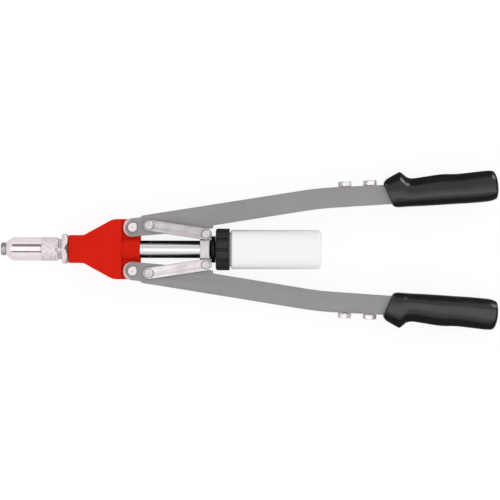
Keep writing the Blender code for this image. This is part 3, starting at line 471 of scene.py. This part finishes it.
def chrome():
    """Polished tube, with painted dark reflections along both sides."""
    r = Recipe("hard_chrome", (0.78, 0.765, 0.77), 1.0)
    # Painted reflection: the tube is darkened where its surface faces sideways.
    side = r.math("ABSOLUTE", r.facing()["Y"])
    side_shade = r.math("MULTIPLY", r.spread(side, 0.60, 0.72, 0.0, 0.8),
                  r.spread(r.noise(50.0), 0.3, 0.5, 0.9, 1.0))
    r.paint(r.mix(side_shade, r.colour, r.rgb((0.10, 0.095, 0.095))))
    scratches = r.noise(1.0, 2.0, 0.5, r.stretched((60.0, 3500.0, 3500.0)))
    r.roughness = r.math("ADD", r.spread(r.noise(70.0), 0.35, 0.75, 0.02, 0.06),
                         r.spread(scratches, 0.55, 0.75, 0.0, 0.06))
    r.set("Specular Tint", r.rgb((0.1, 0.1, 0.1)))
    r.bump(scratches, 0.03, 0.01)
    return r.done()


def bronze():
    r = Recipe("sintered_bronze", (0.35, 0.24, 0.12), 1.0)
    pores = r.noise(1500.0, 2.0)
    r.paint(r.mix(r.spread(pores, 0.35, 0.65, 0.0, 1.0), r.colour, r.rgb((0.58, 0.42, 0.22))))
    r.bump(pores, 0.3, 0.05)
    return r.done()


def spring_steel():
    r = Recipe("drawn_wire", (0.32, 0.32, 0.34), 1.0)
    r.roughness = r.vary(r.noise(800.0), 0.28, 0.45)
    r.bump(r.noise(2500.0, 1.0), 0.2, 0.02)
    return r.done()


def black_plastic(name, level):
    """Moulded plastic, with painted shade that makes it deep black and dull in its grooves."""
    r = Recipe(name, [0.75 * level] * 3)
    cloud = r.noise(150.0, 3.0)
    colour = r.mix(cloud, r.colour, r.rgb([1.25 * level] * 3))
    # Painted shade: darker and less shiny deep in corners and grooves.
    r.paint(r.mix(r.crevice_shade(3.0), colour, r.rgb([0.1 * level] * 3)))
    r.roughness = r.vary(cloud, 0.36, 0.48)
    r.set("Specular IOR Level", r.spread(r.crevice_shade(4.0), 0.0, 0.45, 0.2, 0.02))
    r.bump(r.noise(1600.0, 2.0), 0.35, 0.04)
    return r.done()


def black_grip():
    """Soft dipped vinyl with a fine leathery stipple."""
    r = Recipe("dipped_vinyl", (0.009, 0.009, 0.009))
    cloud = r.noise(60.0, 3.0)
    r.paint(r.mix(cloud, r.colour, r.rgb((0.014, 0.014, 0.014))))
    r.roughness = r.vary(cloud, 0.22, 0.31)
    r.set("Specular IOR Level", 0.46)
    cells = r.add("ShaderNodeTexVoronoi", {"Vector": r.place, "Scale": 1100.0}).outputs["Distance"]
    r.bump(cells, 0.3, 0.05)
    r.bump(r.noise(220.0, 2.0), 0.2, 0.1)
    return r.done()


def white_plastic():
    """Translucent blow-moulded polyethylene."""
    r = Recipe("blown_polyethylene", (0.90, 0.90, 0.905))
    cloud = r.noise(40.0, 3.0)
    r.paint(r.mix(cloud, r.colour, r.rgb((0.94, 0.94, 0.945))))
    r.roughness = r.vary(cloud, 0.32, 0.44)
    r.set("Specular IOR Level", 0.08)
    r.set("Sheen Weight", 0.1)
    r.set("Subsurface Weight", 0.25)
    r.set("Subsurface Radius", (1.0, 1.0, 1.0))
    r.set("Subsurface Scale", 0.002)
    r.bump(r.noise(260.0, 2.0), 0.15, 0.1)
    return r.done()


MATERIALS = {
    "red_paint": red_paint(),
    "grey_paint": grey_paint(),
    "machined_steel": sleeve_steel(),
    "chrome": chrome(),
    "zinc_plate": zinc_plate("bright_zinc", 0.66),
    "bronze": bronze(),
    "spring_steel": spring_steel(),
    "black_plastic": black_plastic("moulded_nylon", 0.024),
    "black_grip": black_grip(),
    "white_plastic": white_plastic(),
}
BRIGHT_PIN = zinc_plate("polished_zinc", 0.80)
BRIGHT_SCREW = zinc_plate("screw_zinc", 0.95)
# Lit and shaded copies of one zinc: the upper links carry painted shade, the lower ones painted
# light.
SHADED_LINK = zinc_plate("shaded_zinc", 0.50)
LIT_LINK = zinc_plate("lit_zinc", 0.76)
# Nodes whose finish is a variant of their slot's
FINISHES = {
    "nosepiece": turned_steel("hardened_steel", 0.44, 0.5, rough=0.26).done(),
    "lock_nut": nut_steel(),
    "bottle_collar": black_plastic("dull_nylon", 0.007),
    "upper_pivot_pin": BRIGHT_PIN,
    "lower_pivot_pin": BRIGHT_PIN,
    **{f"{side}_bolt_{end}": BRIGHT_SCREW for side in ("upper", "lower")
       for end in ("front", "rear")},
    "upper_link_front": SHADED_LINK,
    "upper_link_back": SHADED_LINK,
    "lower_link_front": LIT_LINK,
    "lower_link_back": LIT_LINK,
}


# --- the nose end ----------------------------------------------------------------------------

def wave(value):
    """Triangle wave: 0 at whole numbers and 1 halfway between them."""
    return 1.0 - abs(2.0 * (value % 1.0) - 1.0)


def knurled(place):
    """Diamond knurl: two sets of crossing helical grooves."""
    top, depth, around, pitch = 12.8, 0.38, 56, 1.45

    def radius(angle):
        turn, along = angle * around / (2.0 * math.pi), place / pitch
        return top - depth * (1.0 - min(wave(turn + along), wave(turn - along)))
    return radius


def milled(radius):
    """Round body with a shallow wrench recess on its upper and lower side, between two grooves."""
    groove = ((5.35, 11.35), (4.0, 10.0), (2.5, 10.85),
              (-2.45, 10.85), (-3.0, 10.2), (-3.75, 11.97))

    def reach(angle):
        rise, side = abs(math.sin(angle)), math.cos(angle)
        for (y_from, z_from), (y_to, z_to) in zip(groove, groove[1:]):
            slope = (z_to - z_from) / (y_to - y_from)
            along = rise - slope * side
            found = (z_from - slope * y_from) / along if abs(along) > 1e-6 else 0.0
            if found > 0.0 and y_to <= found * side <= y_from:
                return min(radius, found)
        return radius
    return reach


def keyed(radius):
    """Round stretch, given as a function of the angle, with the keyway milled along it."""
    middle, half, floor = math.radians(94.3), 2.0, 10.2

    def reach(angle):
        full, off = radius(angle), angle - middle
        if math.cos(off) > 0.0 and abs(full * math.sin(off)) < half:
            return min(full, floor / math.cos(off))
        return full
    return reach


def threaded(place):
    """Helical thread."""
    top, depth, pitch = 11.4, 0.75, 1.5
    return lambda angle: top - depth * (1.0 - wave(place / pitch - angle / (2.0 * math.pi)))


def spaced(start, end, step):
    """Even places from start to end, about a step apart."""
    count = max(1, round(abs(end - start) / step))
    return [start + (end - start) * index / count for index in range(count + 1)]


def sleeve():
    """Turned sleeve: from the rear a thread with a keyway, the knurl, the flats and the cone."""
    rear, thread_rear, knurl_rear, knurl_front, key_front = -54.0, -73.5, -79.7, -96.6, -81.9
    flat_end, cone_end, tip = -97.4, -128.4, -135.1
    body, rim, tip_radius, root = 12.55, 12.3, 7.0, 10.8
    seat, bore, seat_radius, nose_bore = -129.5, 9.6, 8.6, 4.8
    rings = [(rear, root - 0.5), (rear - 0.5, root), (thread_rear, root)]
    rings += [(x, keyed(threaded(x))) for x in spaced(thread_rear, knurl_rear + 0.5, 0.25)]
    rings += [(x, keyed(lambda angle, reach=reach: reach))
              for x, reach in ((knurl_rear + 0.4, root), (knurl_rear, root),
                               (knurl_rear, rim - 0.1))]
    knurl = spaced(knurl_rear - 0.35, knurl_front, 0.36)
    rings += [(x, keyed(knurled(x)) if x > key_front else knurled(x)) for x in knurl]
    rings += [(knurl_front - 0.1, rim), (knurl_front - 0.4, rim), (knurl_front - 0.55, body)]
    rings += [(flat_end, body), (flat_end - 0.05, milled(body))]
    rings += [(x, milled(body)) for x in spaced(flat_end - 1.0, cone_end + 0.6, 3.0)]
    rings += [(cone_end, milled(body - 0.12)), (cone_end - 0.6, milled(body - 0.6))]
    slope = (body - 0.6 - tip_radius) / (tip - cone_end + 0.6)
    rings += [(x, milled(tip_radius + slope * (tip - x)))
              for x in spaced(cone_end - 1.1, tip + 0.3, 0.45)]
    rings += [(tip, tip_radius - 0.2), (tip, nose_bore), (seat, nose_bore), (seat, seat_radius),
              (seat + 1.0, bore), (rear, bore)]
    return smooth(lathe("jaw_housing_piece", rings, around=288), 40.0)


# --- pins and rivets -------------------------------------------------------------------------

def headed(node, point, shank, head, start, height, dimple):
    """Pin along Z with the same head at both ends: a flat top, an eased rim and a peened dimple."""
    top = start + height
    floor, eased = top - 0.45, top - 0.75
    half = rounded([(floor, 0.0, 0.0), (floor, dimple * 0.6, 0.25), (top, dimple, 0.25),
                    (top, head - 0.7, 0.35), (eased, head, 0.3), (start, head, 0.1),
                    (start, shank, 0.0)])
    rings = [(p.x, p.y) for p in half] + [(-p.x, p.y) for p in reversed(half)]
    return smooth(lathe(node + "_piece", rings, around=48, closed=False, along="Z", at=point))


def build_pins():
    # Place in x and y, shank radius, head radius, start and height of the head, dimple radius
    sizes = {
        "pivot_pin": ((0.0, 23.4), 4.0, 5.2, 10.3, 2.2, 0.6),
        "link_rivet": ((17.65, 25.7), 2.75, 4.7, 13.1, 1.8, 1.9),
        "crosshead_rivet": ((78.4, 16.4), 2.75, 4.5, 13.1, 1.7, 2.2),
    }
    for side, sign in (("upper", 1.0), ("lower", -1.0)):
        for kind, ((x, y), *rest) in sizes.items():
            node = f"{side}_{kind}"
            finish_piece(headed(node, (x, sign * y, 0.0), *rest), node)


# --- the pull tube, cap and bottle -----------------------------------------------------------

def pull_tube():
    """Hollow tube with a spigot in front for the jaw case and a socket behind for the collar."""
    front, shoulder, socket, rear = -78.7, -65.7, 69.7, 82.0
    outer, spigot, socket_bore, bore = 9.35, 7.6, 7.0, 4.6
    profile = rounded([(rear, outer, 0.6), (shoulder, outer, 0.3), (shoulder, spigot, 0.2),
                       (front, spigot, 0.4), (front, bore, 0.3), (socket, bore, 0.0),
                       (socket, socket_bore, 0.0), (rear, socket_bore, 0.3)])
    return smooth(lathe("pull_tube_piece", profile, around=128))


def bottle_collar():
    """Collar with a spigot in the tube, a flange, and a barbed neck that the cap turns on."""
    front, step, flange_front, flange_rear, barb, rear = 70.0, 82.6, 84.2, 88.6, 91.7, 93.7
    flange, hub, crest, tip, neck, spigot, bore = 14.25, 10.35, 11.2, 10.4, 9.0, 6.7, 4.6
    profile = rounded([(rear, tip, 0.3), (barb, crest, 0.3), (barb, neck, 0.2),
                       (flange_rear, neck, 0.0), (flange_rear, flange, 0.4),
                       (flange_front, flange, 0.9), (flange_front, hub, 0.3), (step, hub, 0.3),
                       (step, spigot, 0.0), (front, spigot, 0.3), (front, bore, 0.0),
                       (rear, bore, 0.3)])
    return smooth(lathe("bottle_collar_piece", profile, around=96))


def bottle_cap():
    """Cup with rounded front corners and grooves between its ribs, open behind for the bottle."""
    front, rear, outer, inner, hole = 88.9, 103.9, 22.4, 18.6, 9.3
    web, side = front + 2.5, 20.0
    grooves, first, half, wall, depth = 12, math.radians(90.85), 1.95, 0.4, 1.35
    groove_front, groove_rear = front + 0.9, rear - 1.6

    def ribbed(place, radius):
        share = min(1.0, max(0.0, (groove_rear - place) / 0.8))
        if place < groove_front or share <= 0.0:
            return radius
        pitch = 2.0 * math.pi / grooves

        def reach(angle):
            off = outer * ((angle - first + pitch / 2.0) % pitch - pitch / 2.0)
            sunk = min(1.0, max(0.0, (half - abs(off)) / wall))
            return min(radius, outer - depth * sunk * share)
        return reach

    outside = rounded([(rear, inner, 0.0), (rear, outer, 0.5), (front, outer, 2.6),
                       (front, hole, 0.5), (web, hole, 0.0)], step=8.0)
    rings = []
    for here, after in zip(outside, outside[1:]):
        count = max(1, round((after - here).length / 1.2)) if here.y > side else 1
        rings += [here.lerp(after, index / count) for index in range(count)]
    rings = [(p.x, ribbed(p.x, p.y) if p.y > side else p.y) for p in rings]
    rings += [(web, hole), (web, inner)]
    return smooth(lathe("bottle_cap_piece", rings, around=360))


def bottle():
    """Thin-walled bottle, open in front, with a shallow dish in its rear face."""
    rear, shoulder, mouth, outer, neck, wall = 202.0, 105.2, 95.5, 21.05, 18.2, 1.5
    dish, dish_radius = rear - 1.2, 13.0
    outside = rounded([(dish, 0.0, 0.0), (dish, dish_radius, 0.8),
                       (rear, dish_radius + 1.8, 0.8), (rear, outer, 5.0),
                       (shoulder, outer, 2.4), (shoulder, neck, 0.5), (mouth, neck, 0.4),
                       (mouth, neck - wall, 0.4)], step=9.0)
    inside = rounded([(shoulder + 0.4, neck - wall, 0.0), (shoulder + 2.0, outer - wall, 0.0),
                      (rear - wall, outer - wall, 3.5), (rear - wall, dish_radius + 1.5, 0.0),
                      (dish - wall, dish_radius, 0.0), (dish - wall, 0.0, 0.0)])
    return smooth(lathe("bottle_piece", outside + inside, around=128, closed=False))


# --- the grips -------------------------------------------------------------------------------

# Outer point, inner point, half height and softness of the section's outer and inner side
GRIP_STATIONS = (
    ((267.9, 71.0), (277.9, 47.8), 12.6, 0.3, 0.25),
    ((268.8, 72.6), (279.0, 46.8), 14.3, 0.35, 0.3),
    ((271.6, 75.9), (281.0, 45.7), 14.7, 1.0, 0.6),
    ((283.2, 82.6), (284.4, 45.4), 16.0, 1.3, 0.75),
    ((286.2, 83.2), (286.4, 45.5), 16.0, 1.3, 0.75),
    ((290.6, 80.0), (290.6, 45.8), 15.4, 1.3, 0.75),
    ((294.2, 77.5), (294.2, 46.1), 14.8, 1.6, 0.9),
    ((300.0, 76.8), (300.0, 46.4), 14.7, 1.8, 1.0),
    ((312.4, 78.6), (312.4, 47.0), 14.7, 1.7, 1.0),
    ((330.0, 81.2), (330.0, 48.1), 15.0, 1.5, 1.0),
    ((346.0, 81.6), (346.0, 49.2), 15.0, 1.4, 1.0),
    ((361.1, 83.2), (361.1, 50.1), 15.0, 1.2, 1.0),
    ((379.6, 85.2), (380.0, 51.9), 15.0, 1.0, 1.0),
    ((386.2, 84.0), (386.6, 53.6), 14.2, 1.0, 1.0),
    ((389.8, 77.5), (389.8, 55.6), 12.2, 1.0, 1.0),
    ((391.1, 70.0), (391.1, 60.0), 7.5, 1.0, 1.0),
)
# Share of the half height against the place across: 1 at the outer edge and -1 at the inner one
GRIP_SECTION = ((1.0, 0.0), (0.985, 0.19), (0.90, 0.44), (0.72, 0.70), (0.50, 0.885),
                (0.25, 0.96), (0.0, 0.99), (-0.3, 1.0), (-0.48, 0.97), (-0.64, 0.87),
                (-0.79, 0.69), (-0.91, 0.44), (-0.98, 0.20), (-1.0, 0.0))


def through(rows, substeps):
    """Rows of a Catmull-Rom curve through the given rows."""
    result = []
    last = len(rows) - 1
    for index in range(last):
        four = (rows[max(index - 1, 0)], rows[index], rows[index + 1], rows[min(index + 2, last)])
        for step in range(substeps):
            t = step / substeps
            result.append([0.5 * (2.0 * b + (c - a) * t + (2.0 * a - 5.0 * b + 4.0 * c - d) * t ** 2
                                  + (3.0 * b - a - 3.0 * c + d) * t ** 3)
                           for a, b, c, d in zip(*four)])
    return result + [list(rows[-1])]


def arm_edge(x):
    """Height of the arm's outer edge in its rear stretch, from the tool axis."""
    return 66.1 + 0.0488 * (x - 199.2)


def grip_pocket(sign):
    """Space that the channel and the bar take inside the grip, rounded where the channel bends."""
    start, end, half, gap = 250.0, 292.3, 10.3, 0.3
    outline = [(start, arm_edge(start) + gap), (end, arm_edge(end) + gap), (end, 49.8),
               (start, 46.9)]
    pocket = prism("pocket", [(x, sign * y) for x, y in outline], -half, half)
    modifier = pocket.modifiers.new("bends", "BEVEL")
    modifier.width = 4.2 * MM
    modifier.segments = 5
    modifier.limit_method = "WEIGHT"
    weights = pocket.data.attributes.new("bevel_weight_edge", "FLOAT", "EDGE")
    for edge in pocket.data.edges:
        ends = [(pocket.data.vertices[index].co - ORIGIN) / MM for index in edge.vertices]
        on_top = all(abs(end.y * sign - arm_edge(end.x) - gap) < 0.1 for end in ends)
        weights.data[edge.index].value = float(on_top and abs(ends[0].z - ends[1].z) < 0.1)
    return baked(pocket)


def grip(side, sign):
    """Moulded grip: sections lofted through its stations, with a pocket for the arm in front."""
    section = through(GRIP_SECTION, 3)
    rows = through([(*outer, *inner, *rest) for outer, inner, *rest in GRIP_STATIONS], 6)
    bm = bmesh.new()
    rings = []
    for outer_x, outer_y, inner_x, inner_y, half, outer_soft, inner_soft in rows:
        outer, inner = Vector((outer_x, outer_y, 0.0)), Vector((inner_x, inner_y, 0.0))
        middle, reach = (outer + inner) / 2.0, (outer - inner) / 2.0
        upper = []
        for across, share in section:
            softness = outer_soft if across > 0.0 else inner_soft
            rise = half * max(share, 0.0) ** softness
            upper.append(middle + reach * across + Vector((0.0, 0.0, rise)))
        lower = [Vector((p.x, p.y, -p.z)) for p in reversed(upper[1:-1])]
        rings.append([bm.verts.new(ORIGIN + Vector((p.x, sign * p.y, p.z)) * MM)
                      for p in upper + lower])
    count = len(rings[0])
    for first, second in zip(rings, rings[1:]):
        for step in range(count):
            after = (step + 1) % count
            bm.faces.new((first[step], first[after], second[after], second[step]))
    bm.faces.new(rings[0])
    bm.faces.new(rings[-1])
    obj = link_mesh(f"{side}_grip_piece", bm)
    return smooth(cut(obj, grip_pocket(sign)), 50.0)


# --- the spring ------------------------------------------------------------------------------

def build_spring():
    """The pusher's spring: a smoothed copy of its CAD solid, with a mesh of its own."""
    spring = finish_piece(smooth(cad_copy("jaw_spring"), 60.0), "jaw_spring")
    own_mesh(spring)


# --- the visible pieces ----------------------------------------------------------------------

def dress_cad_nodes():
    """Give every CAD node its slot's finish.  The inner pieces keep their CAD shape."""
    for name, obj in frame["nodes"].items():
        obj.data.materials.clear()
        obj.data.materials.append(MATERIALS[SLOT_OF[name]])


def build_pieces():
    finish_piece(cast("body_casting", 0.45, 6), "body_casting")
    finish_piece(sleeve(), "jaw_housing")
    finish_piece(pull_tube(), "pull_tube")
    finish_piece(bottle_collar(), "bottle_collar")
    finish_piece(bottle_cap(), "bottle_cap")
    finish_piece(bottle(), "bottle")
    finish_piece(refined("nosepiece", 0.15), "nosepiece")
    finish_piece(refined("lock_nut", 0.2), "lock_nut")
    finish_piece(refined("crosshead", 0.25), "crosshead")
    build_pins()
    build_spring()
    for side, sign in (("upper", 1.0), ("lower", -1.0)):
        finish_piece(grip(side, sign), f"{side}_grip")
        finish_piece(refined(f"{side}_arm_channel", 0.3), f"{side}_arm_channel")
        for kind in ("link_front", "link_back", "bolt_front", "bolt_rear"):
            finish_piece(refined(f"{side}_{kind}", 0.2), f"{side}_{kind}")


# --- stage -----------------------------------------------------------------------------------

def floor_material():
    """Pale lit table.  It glows a little, so that shadows on it stay faint."""
    r = Recipe("pale_floor", (0.14, 0.14, 0.14), roughness=0.8)
    r.paint(r.mix(r.noise(3.0), r.colour, r.rgb((0.16, 0.16, 0.16))))
    r.set("Specular IOR Level", 0.0)
    r.set("Emission Color", r.rgb((1.0, 1.0, 1.0)))
    r.set("Emission Strength", 0.87)
    return r.done()


def build_floor():
    bm = bmesh.new()
    bmesh.ops.create_grid(bm, x_segments=1, y_segments=1, size=6.0)
    floor = link_mesh("floor", bm)
    floor.location.z = CAD_BOX[0][2] - 0.0002
    floor.data.materials.append(floor_material())
    floor.visible_glossy = False


def build_light():
    """Light tent that looks different to each kind of ray.

    Matt surfaces see an even dome.  Shiny ones see a dome that is bright overhead and dark at the
    sides, with a brighter strip along the tool and one small lamp.  The camera sees a white wall.
    """
    world = bpy.data.worlds.new("studio")
    world.use_nodes = True
    tree = world.node_tree

    def add(kind, **inputs):
        made = tree.nodes.new(kind)
        for name, value in inputs.items():
            socket = made.inputs[name.replace("_", " ")]
            if isinstance(value, bpy.types.NodeSocket):
                tree.links.new(value, socket)
            else:
                socket.default_value = value
        return made

    direction = add("ShaderNodeTexCoord").outputs["Generated"]
    split = add("ShaderNodeSeparateXYZ", Vector=direction)
    height = add("ShaderNodeMapRange", Value=split.outputs["Z"], From_Min=-1.0).outputs[0]
    dome = add("ShaderNodeValToRGB", Fac=height)
    ramp = dome.color_ramp.elements
    stops = ((0.0, 0.60), (0.04, 0.50), (0.14, 0.01), (0.57, 0.01), (0.61, 0.05), (0.65, 0.20),
             (0.735, 0.60), (0.84, 0.93), (0.92, 0.76), (1.0, 0.80))
    for place, level in stops:
        end = {0.0: 0, 1.0: -1}.get(place)
        element = ramp.new(place) if end is None else ramp[end]
        element.color = (level, level, level, 1.0)
    strip_middle = -0.156
    off = add("ShaderNodeMath", Value=split.outputs["Y"])
    off.operation = "SUBTRACT"
    off.inputs[1].default_value = strip_middle
    size = add("ShaderNodeMath", Value=off.outputs[0])
    size.operation = "ABSOLUTE"
    strip = add("ShaderNodeMapRange", Value=size.outputs[0], From_Min=0.31, From_Max=0.21,
                To_Min=1.0, To_Max=2.5)
    # A small low lamp behind the upper grip
    toward = add("ShaderNodeVectorMath", Vector=direction)
    toward.operation = "DOT_PRODUCT"
    toward.inputs[1].default_value = (0.60, 0.79, 0.13)
    spot = add("ShaderNodeMapRange", Value=toward.outputs["Value"], From_Min=0.93, From_Max=0.98,
               To_Min=0.0, To_Max=6.0)
    either_lamp = add("ShaderNodeMath", Value=dome.outputs[0])
    either_lamp.operation = "MAXIMUM"
    tree.links.new(spot.outputs[0], either_lamp.inputs[1])
    lamps = add("ShaderNodeBackground", Color=either_lamp.outputs[0], Strength=strip.outputs[0])
    fall = add("ShaderNodeMapRange", Value=split.outputs["Z"], To_Min=1.2, To_Max=0.92)
    tent = add("ShaderNodeBackground", Color=(1.0, 1.0, 1.0, 1.0), Strength=fall.outputs[0])
    wall = add("ShaderNodeBackground", Color=(1.0, 1.0, 1.0, 1.0))
    ray = add("ShaderNodeLightPath").outputs
    seen = lamps
    for kind, other in (("Is Diffuse Ray", tent), ("Is Camera Ray", wall)):
        either = tree.nodes.new("ShaderNodeMixShader")
        tree.links.new(ray[kind], either.inputs[0])
        tree.links.new(seen.outputs[0], either.inputs[1])
        tree.links.new(other.outputs[0], either.inputs[2])
        seen = either
    tree.links.new(seen.outputs[0], tree.nodes["World Output"].inputs["Surface"])
    world.cycles.sampling_method = "NONE"
    bpy.context.scene.world = world


def build_camera():
    """Long lens straight overhead, a touch off centre and turned by a fraction of a degree."""
    lens, sensor, width_seen, aside, roll = 300.0, 36.0, 0.535, (0.4, -0.5), math.radians(0.16)
    height = width_seen * lens / sensor + PIVOT.z
    data = bpy.data.cameras.new("camera")
    data.lens = lens
    data.sensor_width = sensor
    data.clip_end = 20.0
    camera = bpy.data.objects.new("camera", data)
    camera.location = (aside[0] * MM, aside[1] * MM, height)
    camera.rotation_euler = (0.0, 0.0, roll)
    bpy.context.scene.collection.objects.link(camera)
    bpy.context.scene.camera = camera


# --- assembly --------------------------------------------------------------------------------

build_floor()
build_light()
build_camera()
dress_cad_nodes()
build_pieces()
bpy.context.scene.view_settings.view_transform = "Standard"
